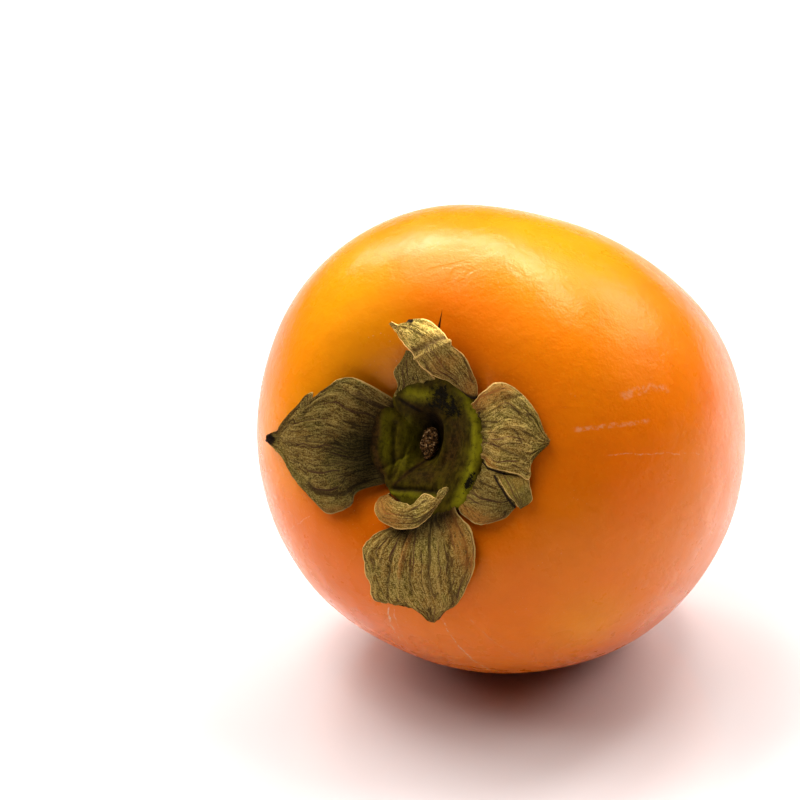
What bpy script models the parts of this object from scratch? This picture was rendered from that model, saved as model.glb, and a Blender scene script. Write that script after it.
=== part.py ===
"""A whole persimmon lying on its side, with its dried calyx, in metres with +Z up.

The origin is the centre of the small flat spot that the fruit rests on. The calyx
faces -Y and tips upward; the blossom end lies low, towards +Y. Every piece is shaped
in the calyx frame, whose X runs right, Y up and Z out along the fruit's own axis, and
is parented to one empty at the fruit's middle that tips that frame into place.
"""
import math

import bmesh
import bpy
import numpy as np
from mathutils import Vector

MM = 0.001  # the sizes below are in millimetres and the angles in degrees

# The fruit: a rounded body whose widest ring stands at height 0 of its own axis.
FRUIT_RADIUS = 41.0
APEX_LENGTH = 52.5
STEM_LENGTH = 35.6
APEX_FULLNESS = 2.33
STEM_FULLNESS = 2.87
AXIAL_FULLNESS = 1.97
LOBES = ((2, 0.027, 159.0), (3, 0.005, 18.0), (4, 0.011, 43.0))  # count, swell, turn
STEM_HOLLOWS = ((9.0, 15.0), (3.0, 8.0))  # depth, radius: the basin and the disc's seat
APEX_DIP = (1.6, 5.0)
AXIS_TILT = 22.7
REST_DEPTH = 0.8
FRUIT_SEGMENTS = 56
STEM_RINGS = 20
APEX_RINGS = 16
STEM_RING_CROWDING = 1.2

# The calyx disc: radius at every 45 degrees about its own middle, from +X round.
DISC_MIDDLE = (1.0, -1.0)
DISC_RADII = (10.3, 11.2, 10.7, 9.8, 9.7, 8.8, 10.2, 11.4)
DISC_GAP = 0.5
DISC_EDGE_LIFT = 0.9
DISC_PAD_LIFT = 2.2
DISC_VALLEY = 0.8
DISC_VALLEY_TURN = 47.0
DISC_SEGMENTS = 40
DISC_RINGS = 8

# The stem scar, a fibrous stub in the hollow at the middle of the disc.
SCAR_MIDDLE = (-0.5, -0.5)
SCAR_HALF_SIZE = (1.9, 2.8)
SCAR_HOLLOW = (3.2, 4.0, 5.0)  # depth, half width, half height
SCAR_RISE = (-0.4, 0.7, 1.0)  # foot, shoulder and tip above the skin's smooth line

# The dried style at the blossom end: (radius, distance past the dip's floor).
STYLE_RINGS = ((1.0, 0.4), (1.2, 0.6), (0.9, 1.1), (0.5, 1.5))
STYLE_SEGMENTS = 12

# Dried sepals. Each line is one rib from the calyx disc outward, as left edge, middle
# and right edge, and each point is x, y and its lift above the clearance.
SHEET_CLEARANCE = 0.7
SHEET_THICKNESS = 0.5
SHEET_STEPS = (12, 10)  # along, across
SEPALS = {
    "sepal_left": (
        ((-6.0, -8.5, 0.6), (-9.6, -3.0, 0.8), (-8.0, 5.5, 0.8)),
        ((-9.0, -10.5, 0.4), (-12.0, -3.0, 1.6), (-10.0, 7.5, 1.2)),
        ((-11.5, -14.0, 0.3), (-15.0, -3.5, 1.8), (-13.5, 8.0, 1.2)),
        ((-15.5, -15.0, 0.4), (-18.5, -4.5, 1.2), (-17.0, 6.0, 0.6)),
        ((-19.0, -12.0, 0.3), (-22.0, -5.0, 0.6), (-20.5, 4.0, 0.6)),
        ((-24.5, -8.0, 0.2), (-26.0, -5.0, 0.2), (-25.5, -2.0, 0.2)),
        ((-28.0, -6.5, 0.2), (-28.5, -6.0, 0.2), (-28.0, -5.0, 0.2)),
    ),
    "sepal_top": (
        ((-6.5, 7.5, 0.6), (1.0, 11.0, 1.0), (7.5, 9.5, 0.8)),
        ((-6.5, 10.0, 0.8), (1.0, 12.0, 2.4), (9.5, 11.5, 1.6)),
        ((-5.5, 12.5, 1.4), (0.5, 14.0, 4.0), (8.8, 14.0, 2.5)),
        ((-4.0, 14.5, 3.0), (1.0, 15.5, 5.0), (5.5, 16.5, 3.5)),
        ((-4.5, 16.5, 4.5), (0.0, 18.0, 5.5), (2.5, 18.5, 4.2)),
        ((-6.0, 18.5, 5.0), (-3.5, 19.2, 5.2), (-1.0, 20.0, 4.5)),
    ),
    "sepal_right": (
        ((10.5, -9.2, 0.6), (12.3, 0.5, 0.8), (9.8, 8.0, 0.8)),
        ((12.5, -10.8, 0.5), (15.0, 0.5, 1.6), (11.3, 11.0, 1.2)),
        ((16.0, -10.5, 0.6), (17.5, 1.0, 1.4), (14.5, 12.0, 1.0)),
        ((20.0, -7.5, 0.4), (20.0, 1.5, 0.8), (18.5, 10.5, 0.6)),
        ((21.5, -3.5, 0.4), (22.5, 3.5, 0.6), (21.5, 7.0, 0.4)),
    ),
    "sepal_bottom": (
        ((-1.5, -12.2, 0.3), (3.5, -12.6, 0.4), (8.5, -11.0, 0.5)),
        ((-5.0, -17.5, 0.6), (4.5, -16.5, 1.0), (12.5, -13.0, 0.6)),
        ((-5.5, -21.0, 0.4), (5.0, -20.0, 1.0), (13.5, -16.5, 0.5)),
        ((-4.5, -25.0, 0.4), (5.0, -23.5, 0.8), (13.0, -20.5, 0.5)),
        ((-2.0, -27.5, 0.3), (5.5, -26.5, 0.4), (11.0, -25.0, 0.4)),
        ((5.0, -28.5, 0.3), (6.5, -29.0, 0.3), (8.0, -28.0, 0.3)),
    ),
    "sepal_small": (
        ((-4.3, -12.6, 1.2), (-4.8, -11.6, 1.6), (-4.6, -10.6, 2.0)),
        ((-2.5, -14.5, 2.0), (-2.0, -12.0, 3.2), (-2.5, -10.0, 3.2)),
        ((1.5, -14.5, 2.8), (2.0, -12.0, 4.5), (1.5, -10.0, 4.2)),
        ((4.5, -12.0, 3.8), (4.5, -10.0, 5.5), (4.0, -8.5, 5.0)),
        ((8.0, -7.8, 5.0), (7.5, -7.0, 5.3), (7.2, -6.3, 5.2)),
    ),
}

FINISHES = {
    "fruit": ((0.85, 0.30, 0.02), 0.3),
    "calyx_disc": ((0.13, 0.12, 0.02), 0.7),
    "stem_scar": ((0.09, 0.05, 0.025), 0.9),
    "style_tip": ((0.05, 0.025, 0.015), 0.8),
    "sepal": ((0.30, 0.25, 0.11), 0.75),
}


def clear_scene():
    """Remove every object that the file starts with."""
    for item in list(bpy.data.objects):
        bpy.data.objects.remove(item, do_unlink=True)


def lobing(turn):
    """How far the fruit's outline swells at an angle about its axis."""
    swell = 1.0
    for count, amount, start in LOBES:
        swell = swell + amount * np.cos(count * (turn - math.radians(start)))
    return swell


def bell(radius, depth, width):
    """A smooth round dent, deepest on the axis."""
    return depth * np.exp(-((radius / width) ** 2))


def half_profile(radius, length, fullness):
    """Height of the plain rounded body over a radius, before its dents."""
    inside = np.clip(1.0 - (radius / FRUIT_RADIUS) ** fullness, 0.0, 1.0)
    return length * inside ** (1.0 / AXIAL_FULLNESS)


def stem_height(radius, hollows=STEM_HOLLOWS):
    """Height of the skin on the calyx half."""
    height = half_profile(radius, STEM_LENGTH, STEM_FULLNESS)
    for depth, width in hollows:
        height = height - bell(radius, depth, width)
    return height


def apex_height(radius):
    """Height of the skin on the blossom half, which is negative."""
    return bell(radius, *APEX_DIP) - half_profile(radius, APEX_LENGTH, APEX_FULLNESS)


def ring(radius, height):
    """One closed ring of the fruit's skin."""
    turn = np.arange(FRUIT_SEGMENTS) * (2.0 * math.pi / FRUIT_SEGMENTS)
    reach = radius * lobing(turn)
    level = np.full_like(turn, height)
    return np.stack([reach * np.cos(turn), reach * np.sin(turn), level], axis=1)


def fruit_rings():
    """The skin's rings, from the blossom end to the calyx."""
    rings = []
    for step in range(1, APEX_RINGS + 1):
        radius = FRUIT_RADIUS * math.sin(0.5 * math.pi * step / APEX_RINGS)
        rings.append(ring(radius, apex_height(radius)))
    for step in range(STEM_RINGS - 1, 0, -1):
        share = (step / STEM_RINGS) ** STEM_RING_CROWDING
        radius = FRUIT_RADIUS * math.sin(0.5 * math.pi * share)
        rings.append(ring(radius, stem_height(radius)))
    return rings


def smooth_line(x, y):
    """Height of the skin over a point of the calyx frame, without the disc's seat."""
    radius = np.hypot(x, y) / lobing(np.arctan2(y, x))
    return stem_height(radius, STEM_HOLLOWS[:1])


def skin_normal(x, y):
    """Outward normal of that smooth skin."""
    step = 0.01
    slope_x = (smooth_line(x + step, y) - smooth_line(x - step, y)) / (2.0 * step)
    slope_y = (smooth_line(x, y + step) - smooth_line(x, y - step)) / (2.0 * step)
    return Vector((-slope_x, -slope_y, 1.0)).normalized()


def on_skin(x, y, lift):
    """A point that clears the skin by the sheets' clearance and stands off by lift."""
    foot = Vector((x, y, smooth_line(x, y)))
    return foot + skin_normal(x, y) * SHEET_CLEARANCE + Vector((0.0, 0.0, lift))


def through(values, share):
    """Catmull-Rom curve through evenly spaced values, at a share from 0 to 1."""
    last = len(values) - 1
    start = min(int(share * last), last - 1)
    t = share * last - start
    b, c = values[start], values[start + 1]
    a = values[start - 1] if start > 0 else 2.0 * b - c
    d = values[start + 2] if start + 2 <= last else 2.0 * c - b
    bend = 2.0 * a - 5.0 * b + 4.0 * c - d
    twist = 3.0 * (b - c) + d - a
    return 0.5 * (2.0 * b + (c - a) * t + bend * t * t + twist * t ** 3)


def around(values, turn):
    """The same curve closed into a loop, at an angle in radians."""
    share = (turn / (2.0 * math.pi)) % 1.0
    padded = np.array([values[-1], *values, values[0], values[1]])
    last = len(padded) - 1
    return through(padded, (1.0 + share * len(values)) / last)


def add_object(name, bm, finish, frame):
    """Make a named object from a mesh, in metres, with its own material."""
    bmesh.ops.scale(bm, vec=(MM, MM, MM), verts=bm.verts)
    bmesh.ops.recalc_face_normals(bm, faces=bm.faces)
    mesh = bpy.data.meshes.new(name)
    bm.to_mesh(mesh)
    bm.free()
    mesh.shade_smooth()
    mesh.set_sharp_from_angle(angle=math.radians(40.0))
    mesh.materials.append(make_material(name, *finish))
    item = bpy.data.objects.new(name, mesh)
    bpy.context.collection.objects.link(item)
    item.parent = frame
    return item


def make_material(name, colour, roughness):
    """A plain Principled material."""
    material = bpy.data.materials.new(name)
    material.use_nodes = True
    shader = material.node_tree.nodes["Principled BSDF"]
    shader.inputs["Base Color"].default_value = (*colour, 1.0)
    shader.inputs["Roughness"].default_value = roughness
    shader.inputs["Metallic"].default_value = 0.0
    return material


def loft(start, rings, end):
    """A closed body through rings of equal count, pointed at both ends."""
    bm = bmesh.new()
    loops = [[bm.verts.new(point) for point in points] for points in rings]
    count = len(loops[0])
    for low, high in zip(loops, loops[1:]):
        for k in range(count):
            n = (k + 1) % count
            bm.faces.new((low[k], low[n], high[n], high[k]))
    for pole, loop in ((start, loops[0]), (end, loops[-1])):
        tip = bm.verts.new(pole)
        for k in range(count):
            bm.faces.new((tip, loop[k], loop[(k + 1) % count]))
    return bm


def lowest_point(tip):
    """The skin's lowest point, which is on the blossom half once the axis is tipped."""
    slant = np.linspace(0.1, 0.5 * math.pi, 400)
    radius, turn = np.meshgrid(FRUIT_RADIUS * np.sin(slant), np.linspace(-math.pi, 0.0, 361))
    reach = radius * lobing(turn)
    points = np.stack([reach * np.cos(turn), reach * np.sin(turn), apex_height(radius)], axis=2)
    points = points.reshape(-1, 3) @ np.array(tip).T
    return Vector(points[np.argmin(points[:, 2])])


def make_frame():
    """An empty that tips the calyx frame so that the rest spot is at the origin."""
    frame = bpy.data.objects.new("calyx_frame", None)
    bpy.context.collection.objects.link(frame)
    frame.rotation_euler = (math.radians(90.0 - AXIS_TILT), 0.0, 0.0)
    lowest = lowest_point(frame.rotation_euler.to_matrix())
    frame.location = (-lowest - Vector((0.0, 0.0, REST_DEPTH))) * MM
    return frame


def press_rest_spot(bm, frame):
    """Cut the skin off flat where the fruit rests, and close the cut."""
    tip = frame.rotation_euler.to_matrix()
    floor_point = tip.inverted() @ (-frame.location / MM)
    down = tip.inverted() @ Vector((0.0, 0.0, -1.0))
    everything = bm.verts[:] + bm.edges[:] + bm.faces[:]
    cut = bmesh.ops.bisect_plane(
        bm, geom=everything, plane_co=floor_point, plane_no=down, clear_outer=True)
    edges = [part for part in cut["geom_cut"] if isinstance(part, bmesh.types.BMEdge)]
    bmesh.ops.edgeloop_fill(bm, edges=edges)


def make_fruit(frame):
    """The fruit: one grown body, from the dip at the blossom end to the calyx basin."""
    start = (0.0, 0.0, float(apex_height(0.0)))
    end = (0.0, 0.0, float(stem_height(0.0)))
    bm = loft(start, fruit_rings(), end)
    press_rest_spot(bm, frame)
    add_object("fruit", bm, FINISHES["fruit"], frame)


def scar_hollow(x, y):
    """Depth of the hollow that holds the stem scar."""
    depth, half_width, half_height = SCAR_HOLLOW
    reach = ((x - SCAR_MIDDLE[0]) / half_width) ** 2 + ((y - SCAR_MIDDLE[1]) / half_height) ** 2
    return depth * math.exp(-reach ** 2)


def disc_top(x, y, share, turn):
    """The disc's upper side: four pads, the valleys between them, and the hollow."""
    dome = DISC_EDGE_LIFT + (DISC_PAD_LIFT - DISC_EDGE_LIFT) * math.sqrt(1.0 - share ** 4)
    between = 0.5 + 0.5 * math.cos(4.0 * (turn - math.radians(DISC_VALLEY_TURN)))
    valley = DISC_VALLEY * share * between ** 3
    return smooth_line(x, y) + dome - valley - scar_hollow(x, y)


def disc_bottom(x, y, share, turn):
    """The disc's under side, which follows its seat in the fruit."""
    radius = math.hypot(x, y) / lobing(turn)
    return stem_height(radius) + DISC_GAP


def disc_ring(share, height_at):
    """One ring of the disc at a share of its radius."""
    points = []
    for step in range(DISC_SEGMENTS):
        turn = 2.0 * math.pi * step / DISC_SEGMENTS
        reach = share * around(DISC_RADII, turn)
        x = DISC_MIDDLE[0] + reach * math.cos(turn)
        y = DISC_MIDDLE[1] + reach * math.sin(turn)
        points.append((x, y, height_at(x, y, share, turn)))
    return points


def make_disc(frame):
    """The fleshy disc that the sepals grow from."""
    shares = [(step / DISC_RINGS) for step in range(1, DISC_RINGS + 1)]
    rings = [disc_ring(share, disc_top) for share in shares]
    rings += [disc_ring(share, disc_bottom) for share in reversed(shares)]
    x, y = DISC_MIDDLE
    start = (x, y, disc_top(x, y, 0.0, 0.0))
    end = (x, y, disc_bottom(x, y, 0.0, 0.0))
    add_object("calyx_disc", loft(start, rings, end), FINISHES["calyx_disc"], frame)


def make_scar(frame):
    """The stub of the cut stem, a low oval boss."""
    x, y = SCAR_MIDDLE
    line = float(smooth_line(x, y))
    foot, shoulder, tip = SCAR_RISE
    rings = []
    for spread, rise in ((0.9, foot), (1.0, foot + 0.3), (1.0, shoulder - 0.4), (0.75, shoulder)):
        points = []
        for step in range(DISC_SEGMENTS // 2):
            turn = 4.0 * math.pi * step / DISC_SEGMENTS
            across = x + spread * SCAR_HALF_SIZE[0] * math.cos(turn)
            upward = y + spread * SCAR_HALF_SIZE[1] * math.sin(turn)
            points.append((across, upward, line + rise))
        rings.append(points)
    bm = loft((x, y, line + foot), rings, (x, y, line + tip))
    add_object("stem_scar", bm, FINISHES["stem_scar"], frame)


def make_style_tip(frame):
    """The dried style, a small stub in the dip at the blossom end."""
    floor = float(apex_height(0.0))
    rings = []
    for radius, past in STYLE_RINGS:
        turns = [2.0 * math.pi * step / STYLE_SEGMENTS for step in range(STYLE_SEGMENTS)]
        rings.append([(radius * math.cos(t), radius * math.sin(t), floor - past) for t in turns])
    start = (0.0, 0.0, floor - STYLE_RINGS[0][1])
    end = (0.0, 0.0, floor - STYLE_RINGS[-1][1] - 0.2)
    add_object("style_tip", loft(start, rings, end), FINISHES["style_tip"], frame)


def rib_point(ribs, along, across):
    """A point of a sepal: along it from 0 to 1, across it from -1 to 1."""
    left, middle, right = (through([np.array(rib[k]) for rib in ribs], along) for k in range(3))
    bow = 0.5 * (left + right) - middle
    return middle + 0.5 * (right - left) * across + bow * across * across


def make_sepal(name, ribs, frame):
    """One dried sepal, a thin curved sheet."""
    bm = bmesh.new()
    steps_along, steps_across = SHEET_STEPS
    rows = []
    for i in range(steps_along + 1):
        row = []
        for j in range(steps_across + 1):
            x, y, lift = rib_point(ribs, i / steps_along, 2.0 * j / steps_across - 1.0)
            row.append(bm.verts.new(on_skin(x, y, lift)))
        rows.append(row)
    for low, high in zip(rows, rows[1:]):
        for j in range(steps_across):
            bm.faces.new((low[j], low[j + 1], high[j + 1], high[j]))
    sepal = add_object(name, bm, FINISHES["sepal"], frame)
    sheet = sepal.modifiers.new("thickness", "SOLIDIFY")
    sheet.thickness = SHEET_THICKNESS * MM
    sheet.offset = 0.0


def main():
    """Build every piece of the persimmon."""
    clear_scene()
    frame = make_frame()
    make_fruit(frame)
    make_disc(frame)
    make_scar(frame)
    make_style_tip(frame)
    for name, ribs in SEPALS.items():
        make_sepal(name, ribs, frame)


main()
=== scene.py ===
"""The looks of the persimmon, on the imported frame: every piece is remodelled in full
detail in the calyx frame (X right, Y up, Z out along the fruit's axis, millimetres)
and given a procedural material, then lit and shown on a pale floor.
"""
import itertools
import math

import bmesh
import bpy
import numpy as np
from mathutils import Euler, Matrix, Vector


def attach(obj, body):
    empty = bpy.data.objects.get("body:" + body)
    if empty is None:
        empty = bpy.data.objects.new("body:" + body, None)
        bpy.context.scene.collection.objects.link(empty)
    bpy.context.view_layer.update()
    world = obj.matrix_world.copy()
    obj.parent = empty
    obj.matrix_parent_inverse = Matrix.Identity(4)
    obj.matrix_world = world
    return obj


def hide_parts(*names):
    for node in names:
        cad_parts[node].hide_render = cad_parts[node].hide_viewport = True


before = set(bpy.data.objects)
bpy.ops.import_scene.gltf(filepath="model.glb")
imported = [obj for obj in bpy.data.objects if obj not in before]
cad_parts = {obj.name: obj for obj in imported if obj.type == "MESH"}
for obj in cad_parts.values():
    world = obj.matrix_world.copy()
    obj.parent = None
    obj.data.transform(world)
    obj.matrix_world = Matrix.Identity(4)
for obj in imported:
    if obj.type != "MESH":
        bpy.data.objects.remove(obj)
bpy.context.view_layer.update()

MM = 0.001
SCATTER = (127.1, 311.7, 74.7, 19.19, 43758.5453)  # the usual numbers of a sine hash

# The fruit, as in the CAD model.
FRUIT_RADIUS = 41.0
APEX_LENGTH = 52.5
STEM_LENGTH = 35.6
APEX_FULLNESS = 2.33
STEM_FULLNESS = 2.87
AXIAL_FULLNESS = 1.97
LOBES = ((2, 0.027, 159.0), (3, 0.005, 18.0), (4, 0.011, 43.0))  # count, swell, turn
BASIN = (9.0, 15.0)  # depth, radius
DISC_SEAT = (3.0, 8.0)
APEX_DIP = (1.6, 5.0)
AXIS_TILT = 22.7
REST_DEPTH = 0.8

# Fine shape of the skin.
FRUIT_SEGMENTS = 400
FRUIT_RINGS = 118
LUMPS = ((20.0, 0.30, 0), (8.0, 0.07, 1))  # size, height and seed, as in all noise here
APEX_CREASES = (4, 0.35, 1.6, 9.0)  # count, depth, half width, radius
REST_SOFTNESS = 0.3

# Marks on the skin, as points of the calyx frame on the skin's surface.
YELLOW_PATCHES = (  # middle, reach, strength
    ((29.4, -25.4, 15.7), 12.0, 0.45),
    ((-15.0, 13.0, 31.5), 22.0, 0.70),
    ((25.6, 20.3, 24.4), 24.0, 0.30),
    ((10.0, 34.0, 12.0), 28.0, 0.45),
    ((-19.0, 24.0, 22.0), 22.0, 0.60),
    ((-24.0, -2.0, 29.0), 20.0, 0.50),
)
SCRATCHES = (  # three points on the line, its half width, how solid
    (((7.6, -28.3, 27.4), (9.6, -33.8, 20.3), (11.5, -38.0, 8.9)), 0.17, 1.0),
    (((-2.1, -28.4, 27.7), (-2.7, -32.1, 23.8), (-2.0, -35.7, 18.1)), 0.15, 0.9),
    (((-1.0, -28.4, 27.7), (-1.2, -32.4, 23.6), (-1.1, -35.9, 17.9)), 0.12, 0.7),
    (((12.5, -26.9, 27.4), (15.5, -30.7, 22.4), (19.5, -34.2, 12.7)), 0.12, 0.4),
    (((-16.4, -15.5, 31.2), (-19.9, -18.1, 29.3), (-24.8, -21.2, 24.2)), 0.12, 0.35),
    (((25.1, 6.9, 30.0), (31.1, 8.9, 25.1), (35.0, 10.4, 19.4)), 0.50, 0.30),
    (((30.7, 3.9, 26.5), (36.4, 5.2, 19.0), (40.5, 5.8, 6.5)), 0.14, 0.40),
    (((30.3, 13.7, 24.0), (32.6, 15.4, 20.0), (35.3, 16.0, 14.3)), 0.55, 0.25),
)
# Painted shade: the skin's colour is darkened round the calyx, where its basin lies in shade.
CALYX_SHADE = ((0.5, 0.0, 29.0), 34.0, 0.72)  # middle, reach, strength
CREASES = (  # three points on each line
    ((-5.2, 27.2, 28.5), (-2.4, 28.9, 27.2), (1.3, 30.2, 25.9)),
    ((-1.2, 27.3, 28.6), (1.0, 28.2, 27.6), (3.2, 28.8, 26.8)),
)
CRACK_HALF_WIDTH = 0.34
CRACK = ((-0.2, 22.0, 31.2), (0.0, 19.6, 31.7), (-0.1, 16.5, 31.7))  # from its thin end
SPECKS_AND_PAINTED_SHADE = (  # middle, reach
    ((27.9, 26.2, -19.5), 0.45),
    ((-34.4, -2.2, 22.2), 0.4),
    ((17.0, 23.8, 27.6), 0.2),
    # Painted shade on the skin, in the gap under the small sepal flap.
    ((-2.6, -11.0, 30.0), 3.0),
)
SKIN_DIMPLES = ((0.45, 0.055, 0.8), (1.3, 0.10, 0.7), (4.5, 0.30, 0.5))  # size, depth, strength
SKIN_SHADER = {
    "IOR": 1.46,
    "Specular Tint": (1.0, 0.78, 0.38, 1.0),
    "Subsurface Weight": 0.18,
    "Subsurface Radius": (1.0, 0.35, 0.08),
    "Subsurface Scale": 0.003,
}
SKIN_ORANGE = (0.79, 0.145, 0.001)
SKIN_YELLOW = (0.83, 0.29, 0.002)
# Colour of the painted shade round the calyx.
SKIN_SHADED = (0.30, 0.06, 0.0005)
SKIN_MOTTLE = (0.50, 0.10, 0.002)
SKIN_PORE = (0.85, 0.42, 0.05)
SKIN_SCUFF = (0.85, 0.50, 0.30)
SKIN_BLACK = (0.02, 0.008, 0.004)

# The calyx disc: radius at every 45 degrees about its own middle, from +X round.
DISC_MIDDLE = (1.0, -1.0)
DISC_RADII = (10.6, 11.8, 12.2, 10.8, 10.7, 9.6, 10.5, 11.8)
DISC_SEGMENTS = 360
DISC_RINGS = 110
DISC_EDGE_LIFT = 0.9
DISC_PAD_LIFT = 2.3
DISC_UNDER_GAP = 0.15
DISC_DENT = ((5.4, 0.6), (1.9, 4.2), 0.5)  # middle, half size, depth
RIM_NOISE = ((2.6, 0.18, 3), (0.8, 0.05, 4))
DISC_GRAIN = ((1.6, 0.10, 5), (0.6, 0.04, 6))
MOULD_CRUST = ((0.45, 0.12, 7),)
RIM_NOTCH = (1.2, 5.0)  # share of a pad bound's depth, half width in degrees
PAD_BOUND_LINES = ((0.35, 1.0), (1.6, 0.8))  # half width, share of the depth
PAD_BOUNDS = ((52.0, 0.25), (143.0, 0.45), (222.0, 0.40), (298.0, 0.15))  # turn, depth
DISC_FOLDS = (  # start, end, half width, height
    ((-5.7, 1.6), (-4.3, -7.0), 0.45, -0.50),
    ((-7.6, 2.5), (-6.8, -6.0), 1.00, 0.35),
    ((-3.4, 2.0), (-2.4, -5.0), 0.50, 0.25),
    ((-3.0, 1.0), (-3.6, -6.0), 0.25, -0.20),
    ((-3.2, -8.7), (6.5, -7.2), 0.40, -0.35),
    ((-3.2, -9.6), (6.5, -8.3), 0.60, 0.30),
    ((9.6, 5.2), (10.6, -3.5), 0.90, 0.35),
    ((2.9, 4.2), (3.2, -2.4), 0.55, 0.55),
    ((4.2, 3.5), (4.4, -3.0), 0.35, -0.20),
    ((-3.6, 7.2), (-0.4, 7.6), 1.00, 0.30),
)
SCAR_MIDDLE = (-0.15, -0.5)
SCAR_HALF_SIZE = (1.5, 2.7)
SCAR_SUNK = 0.8
SCAR_RISE = (1.2, 0.5)  # at its rim, and how much more at its middle
SCAR_ROUGH = ((0.9, 0.55, 60), (0.4, 0.30, 61))
SCAR_SWAY = ((0.6, 0.12, 62),)
SCAR_SEGMENTS = 120
SCAR_RINGS = 40
SCAR_HOLLOW = ((-0.15, 0.3), (3.1, 4.6), 3.4)  # middle, half size, depth

# The disc's colour masks. Patches: middle, half size, turn and strength.
DISC_PATCHES = {
    "mould": (
        ((2.2, 8.6), (2.2, 1.7), 0.0, 0.66),
        ((5.0, 6.2), (2.2, 1.7), 0.0, 0.62),
        ((0.6, 6.2), (1.8, 1.1), 0.0, 0.50),
        ((2.5, 6.5), (6.0, 4.5), 0.0, 0.26),
        ((10.3, -4.6), (0.8, 2.6), -20.0, 1.0),
        ((-6.5, -2.0), (2.5, 4.5), 0.0, 0.18),
    ),
    "brown": (
        ((5.6, 0.3), (2.2, 4.6), 0.0, 1.0),
        ((0.4, 3.6), (2.6, 2.8), 0.0, 1.0),
        ((1.0, -5.4), (3.4, 2.4), 0.0, 0.7),
    ),
    # Painted shade in the hollow and round the scar.
    "deep_shade": (
        ((0.0, 3.8), (1.9, 2.0), 0.0, 1.0),
        (SCAR_MIDDLE, (2.8, 3.8), 0.0, 0.5),
    ),
}
# Stripes: start, end, half width and strength.
DISC_STRIPES = {
    "brown": (
        ((-9.0, 4.5), (-8.9, 0.0), 1.2, 1.2),
        ((-8.9, 0.0), (-5.8, -8.8), 1.1, 1.1),
        ((-5.4, 6.0), (-1.8, 4.8), 0.45, 0.8),
        ((0.2, -3.0), (-3.2, -8.0), 0.35, 0.8),
    ),
    "rim": (
        ((8.6, 6.8), (10.6, 1.6), 1.0, 1.0),
        ((10.6, 1.6), (9.2, -9.5), 1.1, 1.0),
        ((-3.6, 7.2), (-0.6, 7.4), 1.1, 0.9),
        ((-3.2, -9.6), (4.5, -9.0), 0.7, 0.7),
        ((6.2, 9.4), (8.0, 7.5), 1.0, 0.8),
    ),
    "pad": (
        ((-7.2, 2.5), (-6.2, -5.0), 1.3, 1.0),
        ((-3.6, 2.5), (-2.4, -5.0), 1.2, 0.8),
    ),
    # Painted shade in the grooves, beside the scar and along the left edge.
    "deep_shade": (
        ((-9.8, 4.5), (-9.4, -2.0), 1.1, 0.9),
        ((-9.2, -2.0), (-6.2, -9.0), 0.7, 0.5),
        ((1.9, 3.2), (2.1, -1.8), 0.6, 0.9),
        ((-5.4, 6.0), (-2.0, 4.7), 0.28, 0.9),
        ((0.2, -3.0), (-3.2, -8.0), 0.22, 0.6),
        ((-3.2, -8.7), (6.3, -7.3), 0.30, 0.9),
        ((-5.7, 1.0), (-4.4, -7.0), 0.30, 0.5),
    ),
}
# How uneven each mask is: amount, lump size and seed. The mould's specks are in its material.
DISC_UNEVEN = {
    "deep_shade": (0.20, 0.8, 13),
    "brown": (0.25, 1.4, 10),
    "rim": (0.25, 1.2, 11),
    "pad": (0.20, 1.5, 12),
}
DISC_OLIVES = ((0.024, 0.015, 0.001), (0.062, 0.042, 0.002))
DISC_BROWNS = ((0.016, 0.007, 0.002), (0.062, 0.030, 0.005))
DISC_PAD = (0.095, 0.080, 0.002)
DISC_RIM = (0.190, 0.165, 0.004)
DISC_MOTTLE = (0.018, 0.011, 0.001)
# Colour of the painted shade in the disc's hollows and grooves.
DISC_DEEP_SHADE = (0.006, 0.003, 0.001)
MOULD_BLACK = (0.007, 0.005, 0.002)
SCAR_BROWNS = ((0.010, 0.004, 0.001), (0.120, 0.052, 0.014))
# Pale fibre ends, partly painted highlights.
SCAR_PALE_AND_HIGHLIGHT = (0.40, 0.24, 0.11)
STYLE_BROWNS = ((0.018, 0.010, 0.006), (0.11, 0.060, 0.030))

SHEET_CLEARANCE = 0.35
SHEET_THICKNESS = 0.34
MARGIN_WIDTH = 0.35
NARROW_SHEET = 2.5
# Noise of the sheets; each sheet's own seed is added to the seeds.
MARGIN_NOISE = ((1.8, 0.14, 0), (0.6, 0.08, 1))
SHEET_CRINKLES = ((0.55, 0.05, 6),)
SHEET_WAVES = ((3.2, 0.16, 7), (1.3, 0.09, 8))
EDGE_WAVES = ((1.5, 0.15, 9),)

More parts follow.
